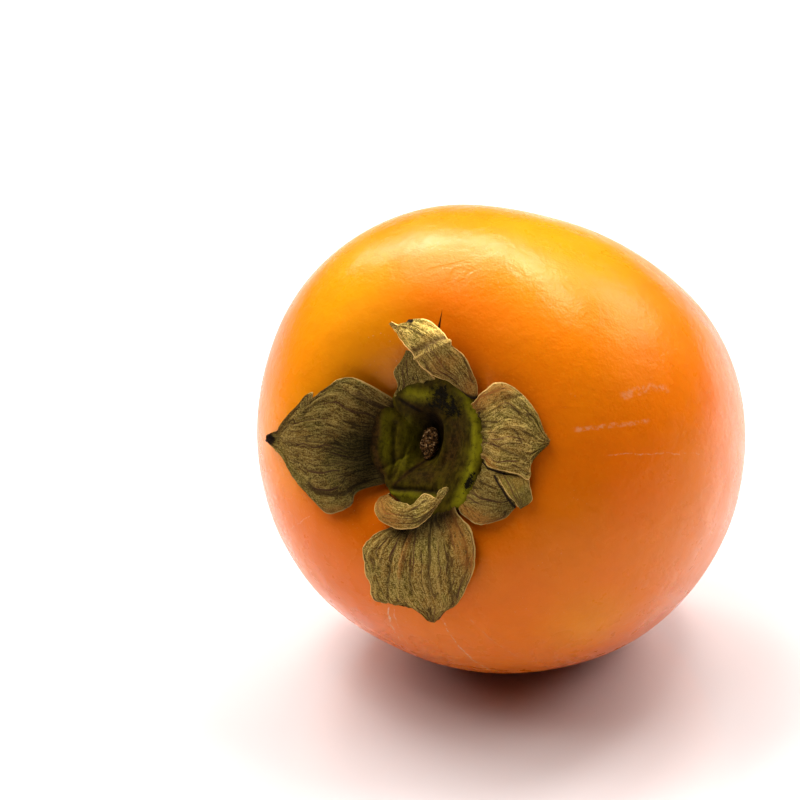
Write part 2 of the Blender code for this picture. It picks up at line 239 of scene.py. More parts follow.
# Dried sepals. Each line is one rib from the calyx disc outward, as left edge, middle
# and right edge, and each point is x, y and its lift above the clearance.
SHEETS = {
    "sepal_left": (
        ((-4.5, -8.0, 0.2), (-7.5, -2.5, 0.4), (-6.0, 5.5, 0.4)),
        ((-9.0, -10.5, 1.0), (-12.0, -3.5, 1.8), (-10.5, 7.5, 1.5)),
        ((-9.5, -13.0, 0.9), (-15.5, -3.5, 1.6), (-14.0, 8.0, 1.4)),
        ((-13.5, -15.0, 0.7), (-19.0, -4.0, 1.2), (-17.0, 6.0, 1.1)),
        ((-16.5, -13.5, 0.6), (-22.0, -4.5, 0.9), (-19.5, 3.0, 0.9)),
        ((-20.0, -11.0, 0.5), (-23.5, -4.5, 0.7), (-20.5, 4.0, 0.9)),
        ((-24.5, -7.5, 0.4), (-25.0, -4.5, 0.5), (-25.0, -2.0, 0.6)),
        ((-26.0, -7.0, 0.4), (-26.0, -5.0, 0.4), (-26.0, -3.5, 0.5)),
        ((-27.5, -6.5, 0.5), (-27.5, -5.0, 0.5), (-27.0, -4.0, 0.5)),
        ((-29.0, -6.0, 0.6), (-29.0, -5.5, 0.6), (-29.0, -5.0, 0.6)),
    ),
    "sepal_bottom": (
        ((1.0, -9.5, -0.2), (4.5, -9.5, -0.2), (8.0, -8.5, 0.2)),
        ((-1.0, -14.0, 0.8), (3.5, -13.0, 0.5), (9.5, -10.0, 1.2)),
        ((-4.0, -16.5, 1.0), (4.0, -16.0, 1.3), (12.5, -12.0, 1.0)),
        ((-6.0, -19.0, 0.9), (4.5, -19.0, 1.6), (14.0, -15.5, 0.8)),
        ((-5.5, -22.0, 0.7), (4.5, -21.5, 1.3), (14.0, -18.5, 0.6)),
        ((-4.5, -25.5, 0.6), (5.0, -24.0, 0.9), (13.0, -21.5, 0.5)),
        ((-3.5, -27.5, 0.5), (6.0, -26.5, 0.6), (11.5, -24.5, 0.5)),
        ((1.0, -26.5, 0.5), (6.5, -27.5, 0.5), (9.0, -26.5, 0.5)),
        ((6.2, -29.0, 0.4), (6.5, -29.0, 0.4), (6.8, -29.0, 0.4)),
    ),
    "sepal_small": (
        ((-3.5, -9.5, 1.0), (-3.5, -10.0, 1.0), (-2.5, -10.5, 1.2)),
        ((-5.0, -11.0, 1.7), (-4.0, -11.0, 2.2), (-2.0, -10.5, 2.8)),
        ((-4.0, -13.5, 2.4), (-1.5, -12.0, 3.8), (1.0, -10.5, 4.1)),
        ((-0.5, -14.5, 2.7), (1.0, -12.0, 4.7), (2.5, -10.5, 4.7)),
        ((3.0, -14.0, 3.4), (4.0, -11.0, 5.4), (4.5, -8.0, 5.9)),
        ((6.0, -11.5, 4.6), (6.5, -9.5, 6.0), (7.0, -8.0, 6.3)),
        ((8.0, -8.0, 6.0), (8.0, -7.5, 6.4), (7.5, -6.5, 6.6)),
        ((9.0, -6.3, 6.6), (9.0, -6.0, 6.6), (8.8, -5.8, 6.6)),
    ),
    "sepal_right": (
        ((10.5, -1.0, 0.2), (9.0, 3.0, 0.2), (7.0, 7.0, 0.3)),
        ((12.0, -0.5, 1.0), (11.5, 3.5, 1.1), (8.5, 8.5, 0.9)),
        ((14.0, -1.5, 1.5), (14.5, 4.0, 2.1), (11.0, 11.0, 1.5)),
        ((17.0, -1.5, 1.6), (16.5, 5.0, 2.1), (13.5, 12.5, 1.5)),
        ((19.0, -1.5, 1.4), (18.5, 5.0, 1.7), (17.0, 11.5, 1.2)),
        ((21.0, -2.0, 1.0), (20.0, 4.5, 1.2), (20.0, 9.0, 0.8)),
        ((21.0, 1.0, 1.0), (21.5, 4.0, 1.0), (21.5, 6.5, 0.6)),
        ((23.0, 4.2, 0.8), (23.0, 4.5, 0.8), (23.0, 4.8, 0.8)),
    ),
    "sepal_right_lower": (
        ((9.0, -9.0, 0.2), (9.5, -5.5, 0.2), (10.5, -0.5, 0.0)),
        ((10.0, -10.0, 0.8), (11.5, -5.5, 0.9), (12.5, -0.5, 0.2)),
        ((13.5, -11.0, 1.0), (14.5, -6.0, 1.2), (15.0, -1.0, 0.4)),
        ((17.5, -9.5, 0.8), (17.5, -6.0, 1.0), (18.5, -1.5, 0.4)),
        ((19.5, -7.0, 0.5), (19.5, -5.0, 0.7), (20.5, -2.5, 0.5)),
    ),
    "sepal_right_fold": (
        ((15.0, -2.5, 0.8), (18.5, -2.0, 0.9), (21.0, -2.0, 0.9)),
        ((17.0, -4.0, 1.6), (19.5, -3.0, 1.5), (21.5, -3.5, 1.1)),
        ((19.0, -5.5, 2.0), (20.5, -4.5, 1.7), (22.0, -5.0, 1.0)),
        ((20.5, -7.0, 1.3), (21.0, -6.5, 1.2), (21.5, -6.0, 1.0)),
    ),
    "sepal_top": (
        ((5.5, 10.0, 0.8), (7.5, 9.0, 0.6), (9.0, 9.0, 0.6)),
        ((4.0, 11.0, 2.6), (6.5, 11.5, 2.2), (9.0, 11.5, 1.1)),
        ((1.5, 11.5, 4.0), (5.0, 13.5, 3.8), (8.0, 13.5, 1.9)),
        ((0.0, 12.5, 4.8), (4.0, 15.0, 5.0), (6.5, 15.5, 2.7)),
        ((-1.0, 13.5, 5.3), (2.5, 16.5, 6.2), (4.5, 17.0, 4.3)),
        ((-2.0, 14.5, 4.9), (1.0, 17.0, 5.1), (4.5, 17.5, 4.2)),
        ((-4.5, 16.5, 4.1), (-2.0, 18.0, 4.6), (1.5, 19.0, 2.9)),
        ((-5.5, 17.5, 4.1), (-4.0, 18.5, 4.4), (-1.5, 20.0, 3.1)),
        ((-6.0, 18.0, 4.3), (-5.5, 18.0, 4.4), (-4.5, 18.5, 4.3)),
        ((-6.7, 18.3, 4.6), (-6.5, 18.5, 4.6), (-6.3, 18.7, 4.6)),
    ),
    "sepal_top_lower": (
        ((-5.5, 5.5, 0.4), (-3.5, 8.0, 0.4), (0.5, 10.5, 0.4)),
        ((-6.5, 6.5, 0.8), (-3.5, 9.0, 1.2), (1.0, 11.0, 1.6)),
        ((-6.0, 8.0, 1.0), (-3.5, 10.0, 1.8), (0.5, 11.5, 2.1)),
        ((-6.5, 10.5, 1.2), (-3.5, 11.5, 2.2), (0.0, 12.5, 2.6)),
        ((-5.0, 12.5, 1.5), (-3.5, 13.0, 2.5), (-1.0, 13.5, 2.9)),
        ((-4.0, 14.5, 2.0), (-3.0, 14.5, 2.6), (-2.0, 14.5, 2.9)),
    ),
}
SHEET_STEPS = (170, 150)  # along, across
SHEET_LOOKS = {  # tone, brighter tip, depth of pleats, dark root's share, crinkle contrast
    "sepal_left": (0.62, 1.40, 0.80, 0.05, 0.9),
    "sepal_bottom": (0.95, 1.20, 0.9, 0.14, 0.9),
    "sepal_small": (0.92, 1.2, 0.7, 0.05, 0.9),
    "sepal_right": (1.0, 1.12, 1.0, 0.10, 0.9),
    "sepal_right_lower": (0.70, 0.95, 0.8, 0.08, 0.9),
    "sepal_right_fold": (0.88, 1.0, 0.15, 0.01, 0.5),
    "sepal_top": (0.98, 2.1, 0.8, 0.06, 0.9),
    "sepal_top_lower": (0.70, 0.9, 0.7, 0.20, 0.9),
}
# Folds: start, end, half width and height of a raised (or sunk) line over a sheet.
# A raised fold gets a painted highlight along it, a sunk one painted shade.
SHEET_FOLDS = {
    "sepal_left": (
        ((-10.5, -3.2), (-16.0, -4.3), 0.18, 0.15),
        ((-15.0, -4.4), (-25.5, -5.4), 0.25, -0.15),
        ((-11.0, -8.5), (-19.5, -11.0), 0.4, 0.15),
        ((-10.0, 5.0), (-15.5, 6.8), 0.5, 0.25),
    ),
    "sepal_bottom": (
        ((2.2, -15.0), (1.2, -26.0), 0.30, 0.40),
        ((3.2, -16.0), (3.5, -25.0), 0.3, -0.25),
        ((4.7, -16.0), (5.1, -26.0), 0.25, 0.2),
        ((6.2, -15.5), (6.9, -26.0), 0.25, -0.2),
        ((7.6, -13.5), (8.9, -26.0), 0.25, 0.2),
        ((9.5, -14.0), (10.6, -25.0), 0.3, -0.25),
        ((-1.0, -16.2), (-4.4, -26.5), 0.3, 0.25),
        ((0.2, -17.2), (-1.2, -26.5), 0.3, -0.25),
        ((-2.6, -16.8), (-5.2, -21.0), 0.3, 0.2),
    ),
    "sepal_right": (
        ((14.6, 5.5), (12.2, 0.2), 0.45, 0.35),
        ((17.0, 11.0), (13.0, 9.2), 0.35, -0.2),
        ((13.5, 2.5), (20.0, 1.2), 0.35, -0.25),
        ((14.0, 4.5), (20.5, 3.2), 0.35, 0.25),
        ((14.0, 6.5), (20.0, 6.0), 0.35, 0.25),
    ),
    "sepal_top": (
        ((-1.1, 13.6), (4.4, 17.2), 0.22, 0.40),
        ((-1.6, 14.7), (3.7, 18.1), 0.6, -0.35),
        ((-1.6, 14.6), (-3.4, 19.0), 0.3, 0.25),
    ),
}
# Painted shade: start, end, half width and strength of a stretch of a sheet that is darkened as
# shade.
SHEET_SHADES = {
    "sepal_left": (
        ((-8.0, 1.0), (-8.5, -8.5), 4.2, 0.85),
        ((-10.0, -2.5), (-13.5, -4.0), 2.8, 0.60),
        ((-17.0, -3.0), (-12.0, -10.0), 3.5, 0.20),
    ),
    "sepal_bottom": (((0.5, -14.4), (8.0, -10.6), 2.4, 0.92),),
    "sepal_right": (((10.0, 6.8), (11.4, 0.4), 1.4, 0.45),),
    "sepal_right_lower": (((10.0, -4.0), (18.0, -7.0), 2.2, 0.30),),
    "sepal_top": (((3.5, 12.0), (6.0, 9.5), 1.8, 0.25),),
}
# Rust: start, end, half width and strength of an orange-brown stretch of a sheet.
SHEET_RUST = {
    "sepal_left": (((-10.0, -13.5), (-13.5, -15.0), 1.0, 0.8),),
    "sepal_bottom": (
        ((8.5, -10.5), (13.5, -17.5), 1.8, 0.9),
        ((2.2, -15.5), (1.6, -22.0), 0.4, 1.0),
    ),
    "sepal_small": (((-4.5, -11.0), (-1.0, -13.5), 2.0, 0.9),),
    "sepal_right": (((8.0, 8.0), (14.5, 12.0), 1.8, 0.8), ((12.0, 0.0), (15.0, -1.5), 0.8, 0.7)),
    "sepal_right_lower": (((10.0, -9.5), (17.0, -10.5), 1.4, 0.9),),
    "sepal_top": (((7.5, 9.5), (8.5, 13.0), 1.2, 0.6), ((2.5, 13.0), (5.5, 15.0), 1.2, 0.5)),
}
# Stains and painted shadows: start, end, half width and strength of a dark line or patch on a
# sheet.
SHEET_STAINS_AND_SHADOWS = {
    "sepal_left": (
        ((-28.8, -5.7), (-27.4, -5.4), 1.1, 1.0),
        ((-10.4, -13.6), (-9.0, -12.0), 0.5, 0.5),
    ),
    "sepal_bottom": (
        ((9.5, -21.0), (11.0, -24.5), 0.25, 0.45),
        ((6.5, -22.0), (7.2, -25.0), 0.35, 0.40),
    ),
    "sepal_right": (
        ((10.0, 6.8), (11.4, 0.4), 0.45, 0.65),
        ((11.0, 6.5), (15.5, 9.6), 0.22, 0.55),
        ((15.0, 9.6), (18.0, 8.2), 0.45, 0.50),
    ),
    "sepal_right_lower": (
        # The first two lines are a painted shadow under the upper sheet's edge, the fourth one
        # along the fold's edge.
        ((11.6, -0.9), (13.2, -1.9), 0.14, 1.5),
        ((13.2, -1.9), (20.6, -2.3), 0.14, 1.5),
        ((11.5, -8.0), (15.0, -7.0), 0.22, 0.55),
        ((15.0, -2.8), (19.6, -7.2), 0.25, 0.9),
        ((19.8, -6.6), (20.5, -7.6), 0.2, 1.2),
    ),
    "sepal_top": (((-5.0, 18.9), (-3.0, 19.2), 0.35, 0.9),),
}
SEPAL_BROWNS = ((0.280, 0.152, 0.026), (0.240, 0.165, 0.025))
SEPAL_SHADE = (0.090, 0.062, 0.010)
SEPAL_OCHRE = (0.330, 0.150, 0.020)
SEPAL_STRAWS = ((0.60, 0.42, 0.110), (0.60, 0.43, 0.130))
SEPAL_DARKS = ((0.060, 0.038, 0.006), (0.050, 0.030, 0.006))
# Cords: straw colour, partly a painted highlight on the ridges; creases: painted shade.
SEPAL_CORD_AND_HIGHLIGHT = (0.56, 0.37, 0.095)
SEPAL_CREASE_SHADE = (0.055, 0.026, 0.008)
SEPAL_VEIN = (0.100, 0.036, 0.020)
SEPAL_RUST = (0.430, 0.145, 0.022)
# Painted highlight along raised folds.
SEPAL_FOLD_HIGHLIGHT = (0.62, 0.40, 0.11)
SEPAL_MARGIN = (0.74, 0.46, 0.14)
SEPAL_ROOT = (0.022, 0.011, 0.003)
# Stains, and painted shadows under overlapping edges.
SEPAL_STAIN_AND_SHADOW = (0.020, 0.011, 0.006)

# The style tip at the blossom end; its rings are (radius, distance past the dip's floor).
STYLE_SEGMENTS = 48
STYLE_STEPS = 30
STYLE_ROUGH = ((0.5, 0.12, 70),)
STYLE_RINGS = ((1.25, -0.1), (1.2, 0.35), (0.95, 0.75), (0.7, 1.1), (0.55, 1.45), (0.3, 1.65))

# Camera: it looks at the fruit's middle from the front right and above.
CAMERA_TURN = 27.2
CAMERA_RISE = 25.5
CAMERA_DISTANCE = 600.0
CAMERA_SIDESTEP = (-16.4, 6.6)
CAMERA_LENS = 156.2
CAMERA_SENSOR = 36.0
CAMERA_FARTHEST = 20.0

# Lamps and the floor. Distances here are in metres.
SOFTBOXES = (  # name, turn, rise, width, power, whether the skin mirrors it
    ("behind", 177.0, 38.0, 0.65, 9.5, False),
    ("left_high", -93.0, 62.0, 0.65, 9.2, False),
    ("right", 117.0, 38.0, 0.65, 4.5, False),
    ("left", -63.0, 38.0, 0.65, 4.6, False),
    ("front_left_high", -33.0, 62.0, 0.65, 4.5, False),
    ("left_high_sheen", -113.0, 60.0, 0.65, 4.3, True),
    ("behind_right_sheen", 147.0, 38.0, 0.65, 4.3, True),
    ("behind_glint", -174.0, 59.0, 0.25, 4.3, True),
    ("right_glint", 150.0, 67.0, 0.25, 3.0, True),
    ("left_glint", -132.0, 41.0, 0.25, 3.7, True),
    ("behind_left_glint", -150.0, 50.0, 0.25, 3.0, True),
    ("low_left_glint", -120.0, 30.0, 0.25, 1.2, True),
)
SOFTBOX_DISTANCE = 1.2
SOFTBOX_AIM = Vector((0.0, 0.0, 0.04))
WORLD_LIGHT = 0.03
FLOOR_HALF_SIZE = 4.0
FLOOR_COLOUR = (0.71, 0.65, 0.635, 1.0)


# ---------------- shape helpers

def lattice(cell, seed):
    """Repeatable values from 0 to 1 at whole-number points."""
    mixed = np.sin(cell @ np.array(SCATTER[:3]) + seed * SCATTER[3]) * SCATTER[4]
    return mixed - np.floor(mixed)


def noise(points, size, seed):
    """Smooth value noise from -1 to 1 with lumps of a given size, at (..., 3) points."""
    spot = np.asarray(points, float) / size
    cell = np.floor(spot)
    part = spot - cell
    part = part * part * (3.0 - 2.0 * part)
    total = 0.0
    for corner in itertools.product((0, 1), repeat=3):
        corner = np.array(corner)
        weight = np.prod(np.where(corner == 1, part, 1.0 - part), axis=-1)
        total = total + weight * lattice(cell + corner, seed)
    return 2.0 * total - 1.0


def noises(points, layers, seed=0):
    """Noise of several sizes added up, from the size, height and seed of each."""
    return sum(height * noise(points, size, seed + own) for size, height, own in layers)


def fade(value, low, high):
    """0 below low, 1 above high, smooth between."""
    share = np.clip((value - low) / (high - low), 0.0, 1.0)
    return share * share * (3.0 - 2.0 * share)


def full_turn(count):
    """Angles evenly spaced round a full turn, in radians."""
    return np.arange(count) * (2.0 * math.pi / count)


def through(values, share):
    """Catmull-Rom curve through evenly spaced values, at shares from 0 to 1."""
    values = np.asarray(values, float)
    share = np.asarray(share, float)
    last = len(values) - 1
    start = np.clip(np.floor(share * last).astype(int), 0, last - 1)
    t = (share * last - start).reshape(share.shape + (1,) * (values.ndim - 1))
    before = 2.0 * values[:1] - values[1:2]
    after = 2.0 * values[-1:] - values[-2:-1]
    padded = np.concatenate([before, values, after])
    a, b, c, d = (padded[start + k] for k in range(4))
    bend = 2.0 * a - 5.0 * b + 4.0 * c - d
    twist = 3.0 * (b - c) + d - a
    return 0.5 * (2.0 * b + (c - a) * t + bend * t ** 2 + twist * t ** 3)


def around(values, turn):
    """The same curve closed into a loop, at angles in radians."""
    share = (turn / (2.0 * math.pi)) % 1.0
    padded = [values[-1], *values, values[0], values[1]]
    return through(padded, (1.0 + share * len(values)) / (len(padded) - 1))


def grid_normals(points):
    """Unit normals of a grid of points."""
    along = np.gradient(points, axis=0)
    across = np.gradient(points, axis=1)
    normal = np.cross(across, along)
    return normal / np.maximum(np.linalg.norm(normal, axis=-1, keepdims=True), 1e-9)


def grid_faces(rows, columns, closed=False, first=0):
    """Quads of a grid of vertices, joined round into a tube if closed."""
    index = np.arange(rows * columns).reshape(rows, columns) + first
    if closed:
        index = np.concatenate([index, index[:, :1]], axis=1)
    corners = (index[:-1, :-1], index[:-1, 1:], index[1:, 1:], index[1:, :-1])
    return np.stack([corner.ravel() for corner in corners], axis=1).tolist()


def capped(rings, poles=None):
    """Points and faces of a tube through rings of points, closed by a pole at each end."""
    if poles is None:
        poles = rings[[0, -1]].mean(axis=1)
    rows, columns = rings.shape[:2]
    faces = grid_faces(rows, columns, closed=True)
    for pole, first in ((rows * columns, 0), (rows * columns + 1, (rows - 1) * columns)):
        faces += [(pole, first + k, first + (k + 1) % columns) for k in range(columns)]
    return np.concatenate([rings.reshape(-1, 3), poles]), faces


def signed_turn(turn):
    """The same angle, from -180 to 180 degrees."""
    return (turn + 180.0) % 360.0 - 180.0


# ---------------- the fruit's form

def lobing(turn):
    """How far the fruit's outline swells at an angle about its axis."""
    swell = 1.0
    for count, amount, start in LOBES:
        swell = swell + amount * np.cos(count * (turn - math.radians(start)))
    return swell


def half_profile(radius, length, fullness):
    """Height of the plain rounded body over a radius, before its dents."""
    inside = np.clip(1.0 - (radius / FRUIT_RADIUS) ** fullness, 0.0, 1.0)
    return length * inside ** (1.0 / AXIAL_FULLNESS)


def bell(away, depth, width):
    """A smooth dent, deepest where the distance from it is 0."""
    return depth * np.exp(-((away / width) ** 2))


def stem_height(radius):
    """Height of the skin on the calyx half."""
    return half_profile(radius, STEM_LENGTH, STEM_FULLNESS) - bell(radius, *BASIN)


def seat_height(radius):
    """Height of the skin on the calyx half, with the seat that the disc sits in."""
    return stem_height(radius) - bell(radius, *DISC_SEAT)


def apex_height(radius):
    """Height of the skin on the blossom half, which is negative."""
    return bell(radius, *APEX_DIP) - half_profile(radius, APEX_LENGTH, APEX_FULLNESS)


def skin_line(x, y):
    """Height of the calyx half's skin over a point of the calyx frame."""
    return stem_height(np.hypot(x, y) / lobing(np.arctan2(y, x)))


def skin_normal(x, y):
    """Outward normals of that skin."""
    step = 0.01
    slope_x = (skin_line(x + step, y) - skin_line(x - step, y)) / (2.0 * step)
    slope_y = (skin_line(x, y + step) - skin_line(x, y - step)) / (2.0 * step)
    normal = np.stack([-slope_x, -slope_y, np.ones_like(slope_x)], axis=-1)
    return normal / np.linalg.norm(normal, axis=-1, keepdims=True)


def lowest_point(tip):
    """The skin's lowest point, which is on the blossom half once the axis is tipped."""
    slant = np.linspace(0.1, 0.5 * math.pi, 400)
    radius, turn = np.meshgrid(FRUIT_RADIUS * np.sin(slant), np.linspace(-math.pi, 0.0, 361))
    reach = radius * lobing(turn)
    points = np.stack([reach * np.cos(turn), reach * np.sin(turn), apex_height(radius)], axis=2)
    points = points.reshape(-1, 3) @ np.array(tip).T
    return Vector(points[np.argmin(points[:, 2])])


def calyx_frame():
    """The place of the calyx frame in the row frame, in metres."""
    tip = Euler((math.radians(90.0 - AXIS_TILT), 0.0, 0.0)).to_matrix()
    place = (-lowest_point(tip) - Vector((0.0, 0.0, REST_DEPTH))) * MM
    return Matrix.Translation(place) @ tip.to_4x4()


CALYX_FRAME = calyx_frame()


# ---------------- mesh and pieces

def turn_outward(mesh):
    """Wind the faces of a closed mesh so that they all face out."""
    shape = bmesh.new()
    shape.from_mesh(mesh)
    bmesh.ops.recalc_face_normals(shape, faces=shape.faces)
    shape.to_mesh(mesh)
    shape.free()


def set_mark(mesh, name, kind, field, values):
    """Give every point of a mesh a value that its material can read."""
    layer = mesh.attributes.new(name, kind, "POINT")
    layer.data.foreach_set(field, np.asarray(values, np.float32).ravel())


def set_uv(mesh, flat_uv):
    """Lay a mesh out flat, from the flat place of each of its points."""
    layer = mesh.uv_layers.new(name="sheet")
    corners = np.zeros(len(mesh.loops), np.int32)
    mesh.loops.foreach_get("vertex_index", corners)
    layer.data.foreach_set("uv", np.asarray(flat_uv, np.float32)[corners].ravel())


def add_piece(name, points, faces, material, node, slot, marks=(), flat_uv=None):
    """One visible piece from points in the calyx frame, standing for a CAD node."""
    placed = points @ np.array(CALYX_FRAME.to_3x3()).T * MM + np.array(CALYX_FRAME.translation)
    mesh = bpy.data.meshes.new(name)
    mesh.from_pydata(placed.tolist(), [], faces)
    turn_outward(mesh)
    mesh.materials.append(material)
    set_mark(mesh, "place", "FLOAT_VECTOR", "vector", points)
    for mark, values in dict(marks).items():
        set_mark(mesh, mark, "FLOAT", "value", values)
    if flat_uv is not None:
        set_uv(mesh, flat_uv)
    mesh.shade_smooth()
    piece = bpy.data.objects.new(name, mesh)
    bpy.context.scene.collection.objects.link(piece)
    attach(piece, "root")
    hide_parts(node)


# ---------------- the fruit's skin

def fruit_points():
    """The skin's rings from the blossom end to the calyx, without its fine shape."""
    turn = full_turn(FRUIT_SEGMENTS)
    share = np.arange(1, FRUIT_RINGS + 1) / FRUIT_RINGS
    apex = FRUIT_RADIUS * np.sin(0.5 * math.pi * share)
    stem = FRUIT_RADIUS * np.sin(0.5 * math.pi * share[-2::-1] ** 1.15)
    radius = np.concatenate([apex, stem])[:, None]
    height = np.concatenate([apex_height(apex), seat_height(stem)])[:, None]
    reach = radius * lobing(turn)[None, :]
    level = np.broadcast_to(height, reach.shape)
    return np.stack([reach * np.cos(turn), reach * np.sin(turn), level], axis=2)


def apex_crease(points):
    """Depth of the shallow creases that cross at the blossom end."""
    count, depth, half_width, reach = APEX_CREASES
    radius = np.hypot(points[..., 0], points[..., 1])
    turn = np.arctan2(points[..., 1], points[..., 0])
    line = np.abs(np.sin(0.5 * count * (turn - math.radians(LOBES[2][2]))))
    near = bell(line * radius, 1.0, half_width) * bell(radius, 1.0, reach)
    return np.where(points[..., 2] < 0.0, depth * near, 0.0)


def rest_flat(points):
    """Ease the underside onto the floor, where the fruit rests on a small flat spot."""
    turned = np.array(CALYX_FRAME.to_3x3())
    place = np.array(CALYX_FRAME.translation) / MM
    world = points @ turned.T + place
    world[..., 2] = 0.5 * (world[..., 2] + np.sqrt(world[..., 2] ** 2 + REST_SOFTNESS ** 2))
    return (world - place) @ turned


def make_fruit():
    """The fruit's skin, with its gentle lumps."""
    points = fruit_points()
    normal = grid_normals(points)
    if np.sum(normal * points) < 0.0:
        normal = -normal
    rise = noises(points, LUMPS) - apex_crease(points)
    points = rest_flat(points + normal * rise[..., None])
    poles = ((0.0, 0.0, apex_height(0.0)), (0.0, 0.0, seat_height(0.0)))
    add_piece("persimmon_fruit", *capped(points, poles), skin_material(), "fruit", "skin")


# ---------------- the calyx disc

def blob(x, y, middle, half_size, turn=0.0):
    """A soft round patch: 1 at its middle and fading out past its half size."""
    c, s = math.cos(math.radians(turn)), math.sin(math.radians(turn))
    u = (x - middle[0]) * c + (y - middle[1]) * s
    v = (y - middle[1]) * c - (x - middle[0]) * s
    return np.exp(-((u / half_size[0]) ** 2 + (v / half_size[1]) ** 2))


def groove(x, y, start, end, width):
    """A soft straight groove between two points: 1 on its line."""
    ax, ay = start
    dx, dy = end[0] - ax, end[1] - ay
    share = np.clip(((x - ax) * dx + (y - ay) * dy) / (dx * dx + dy * dy), 0.0, 1.0)
    return bell(np.hypot(x - ax - share * dx, y - ay - share * dy), 1.0, width)


def disc_height(x, y, share):
    """Height of the disc's top above the skin line: pads, grooves and the hollow."""
    turn = np.degrees(np.arctan2(y - SCAR_MIDDLE[1], x - SCAR_MIDDLE[0]))
    spread = np.hypot(x - SCAR_MIDDLE[0], y - SCAR_MIDDLE[1])
    lift = DISC_EDGE_LIFT + (DISC_PAD_LIFT - DISC_EDGE_LIFT) * np.sqrt(1.0 - share ** 4)
    for bound, depth in PAD_BOUNDS:
        away = np.radians(signed_turn(turn - bound)) * spread
        line = sum(bell(away, part, width) for width, part in PAD_BOUND_LINES)
        lift = lift - depth * line * fade(spread, 2.0, 5.0)
    for start, end, width, height in DISC_FOLDS:
        lift = lift + height * groove(x, y, start, end, width)
    middle, half_size, depth = DISC_DENT
    return lift - depth * blob(x, y, middle, half_size) - scar_hollow(x, y)


def scar_hollow(x, y):
    """Depth of the hollow round the stem scar, steepest on its right and top."""
    middle, half_size, depth = SCAR_HOLLOW
    u = (x - middle[0]) / half_size[0]
    v = (y - middle[1]) / half_size[1]
    return depth * np.exp(-((u * u + v * v) ** 2))


def disc_rim(turn):
    """Radius of the disc's uneven rim, notched at each bound between its pads."""
    ring = 10.0 * np.stack([np.cos(turn), np.sin(turn), 0.0 * turn], axis=1)
    rim = around(DISC_RADII, turn) + noises(ring, RIM_NOISE)
    share, width = RIM_NOTCH
    for bound, depth in PAD_BOUNDS:
        rim = rim - bell(signed_turn(np.degrees(turn) - bound), share * depth, width)
    return rim


def disc_poles():
    """The middles of the disc's top and underside."""
    x, y = DISC_MIDDLE
    top = skin_line(x, y) + disc_height(x, y, 0.0)
    return (x, y, top), (x, y, seat_height(math.hypot(x, y)) + DISC_UNDER_GAP)


def make_disc():
    """The fleshy disc that the sepals grow from."""
    turn = full_turn(DISC_SEGMENTS)
    share = (np.arange(1, DISC_RINGS + 1) / DISC_RINGS)[:, None] ** 0.85
    rim = disc_rim(turn)
    x = DISC_MIDDLE[0] + share * rim * np.cos(turn)
    y = DISC_MIDDLE[1] + share * rim * np.sin(turn)
    line = skin_line(x, y)
    top = np.stack([x, y, line + disc_height(x, y, share)], axis=2)
    crust = np.abs(noises(top, MOULD_CRUST)) * disc_mask("mould", x, y)
    top[..., 2] += noises(top, DISC_GRAIN) + crust
    seat = line - bell(np.hypot(x, y) / lobing(np.arctan2(y, x)), *DISC_SEAT)
    under = np.stack([x, y, seat + DISC_UNDER_GAP], axis=2)[::-1]
    points, faces = capped(np.concatenate([top, under]), disc_poles())
    add_piece("calyx_disc_detail", points, faces, disc_material(), "calyx_disc", "calyx_disc",
              disc_marks(points))


def disc_mask(name, x, y, uneven=0.0):
    """One colour mask over the disc: its patches and stripes, from 0 to 1."""
    mask = uneven + 0.0 * x
    for middle, half_size, turn, strength in DISC_PATCHES.get(name, ()):
        mask = mask + strength * blob(x, y, middle, half_size, turn)
    for start, end, half_width, strength in DISC_STRIPES.get(name, ()):
        mask = mask + strength * groove(x, y, start, end, half_width)
    return np.clip(mask, 0.0, 1.0)


def disc_marks(points):
    """Colour masks over the disc: brown flesh, bright rim, green pads, painted shade, and mould.
    """
    x, y = points[:, 0], points[:, 1]
    marks = {"mould": disc_mask("mould", x, y)}
    for name, (amount, size, seed) in DISC_UNEVEN.items():
        marks[name] = disc_mask(name, x, y, amount * noise(points, size, seed))
    return marks


# ---------------- dried sheets

def sheet_grid(ribs):
    """Points (x, y, lift) of a sheet, with how far along and across each one is."""
    along = np.linspace(0.0, 1.0, SHEET_STEPS[0])
    across = np.linspace(-1.0, 1.0, SHEET_STEPS[1])[None, :, None]
    left, middle, right = np.moveaxis(through(ribs, along), 1, 0)[:, :, None, :]
    bow = 0.5 * (left + right) - middle
    grid = middle + 0.5 * (right - left) * across + bow * across ** 2
    u = np.broadcast_to(along[:, None], grid.shape[:2])
    v = np.broadcast_to(across[..., 0], grid.shape[:2])
    return grid, u, v


def fibres(u, v, length, width, size, seed):
    """Noise stretched along a sheet, with lines a given size apart across it."""
    spot = np.stack([v * 0.5 * width / size, u * length / (size * 8.0), 0.0 * u], axis=-1)
    spot[..., 0] += 0.4 * noise(spot * np.array([0.35, 2.5, 1.0]), 1.0, seed + 3)
    return noise(spot, 1.0, seed)


def veins(u, v, length, width, seed):
    """Height of the cords and creases along a sheet, and where each of them runs."""
    broad = 1.0 - np.abs(fibres(u, v, length, width, 1.6, seed)) * 2.6
    broad = np.clip(broad, -0.6, 1.0)
    middle = np.sqrt(np.abs(fibres(u, v, length, width, 0.8, seed + 1))) * 2.0 - 1.0
    fine = fibres(u, v, length, width, 0.35, seed + 2)
    height = 0.17 * broad + 0.12 * middle + 0.08 * fine
    # The two masks: a partly painted highlight on the cords, painted shade in the creases.
    return height, fade(broad + 0.5 * fine, 0.5, 1.1), fade(0.4 * fine - middle, 0.2, 0.8)


